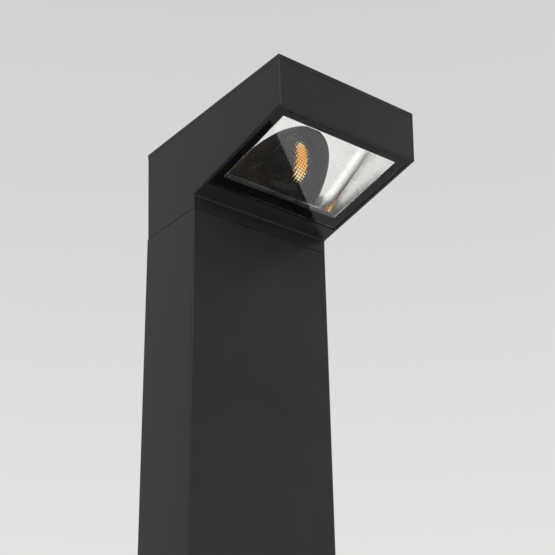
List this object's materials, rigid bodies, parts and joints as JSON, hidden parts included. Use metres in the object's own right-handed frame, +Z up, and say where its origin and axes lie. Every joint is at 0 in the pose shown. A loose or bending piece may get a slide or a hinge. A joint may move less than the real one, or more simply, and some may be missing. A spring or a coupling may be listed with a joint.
{
  "type": "bollard light",
  "caption": "Rectangular-column bollard light: overhanging cast head, sloping flat-glass soffit, mirrored tray with half-dome reflector and LED, bolted foot plate.",
  "frame": {"origin": "centre of the foot's underside, on the column's axis", "axes": "+Z up along the column, -Y towards the overhang of the head, X across the column's width"},
  "size_m": [0.17, 0.186, 1],
  "materials": {
    "powder_coat": "satin anthracite powder coat on aluminium",
    "rubber": "black EPDM",
    "silicone": "dark silicone",
    "stainless": "stainless steel",
    "glass": "clear toughened glass",
    "frit": "black ceramic print",
    "mirror": "metallised reflector",
    "aluminium": "plain milled aluminium",
    "thermal": "grey thermal film",
    "board": "black solder mask",
    "dark_mirror": "dark metallised facets",
    "phosphor": "yellow phosphor silicone",
    "driver_case": "white polycarbonate case",
    "box_plastic": "grey polycarbonate",
    "terminal": "light polyamide",
    "gland": "black polyamide",
    "zinc_sheet": "galvanised sheet",
    "brass": "plain brass",
    "cable_jacket": "black rubber jacket",
    "lead_insulation": "dark grey silicone insulation"
  },
  "bodies": {
    "root": {"base_gasket": "rubber", "base_plate": "powder_coat", "column_screws": "stainless", "column_spigot": "aluminium", "spigot_screws": "stainless", "earth_stud": "brass", "column": "powder_coat", "seam_gasket": "silicone", "head_body": "powder_coat", "head_screws": "stainless", "cable_grommet": "rubber", "vent_plug": "gland", "lid": "powder_coat", "lid_gasket": "silicone", "lid_screws": "stainless", "glass": "glass", "glass_frit": "frit", "glass_seal": "silicone", "reflector_tray": "mirror", "reflector_dome": "dark_mirror", "reflector_screws": "stainless", "led_bracket": "aluminium", "bracket_screws": "stainless", "thermal_pad": "thermal", "led_board": "board", "led_chip": "phosphor", "led_screws": "stainless", "led_leads": "lead_insulation", "driver": "driver_case", "driver_screws": "stainless", "gear_tray": "zinc_sheet", "gear_screws": "stainless", "connection_box": "box_plastic", "box_screws": "stainless", "box_seal": "rubber", "box_lid": "box_plastic", "box_lid_screws": "stainless", "terminal_block": "terminal", "inlet_gland": "gland", "outlet_gland": "gland", "riser_cable": "cable_jacket"}
  },
  "joints": []
}
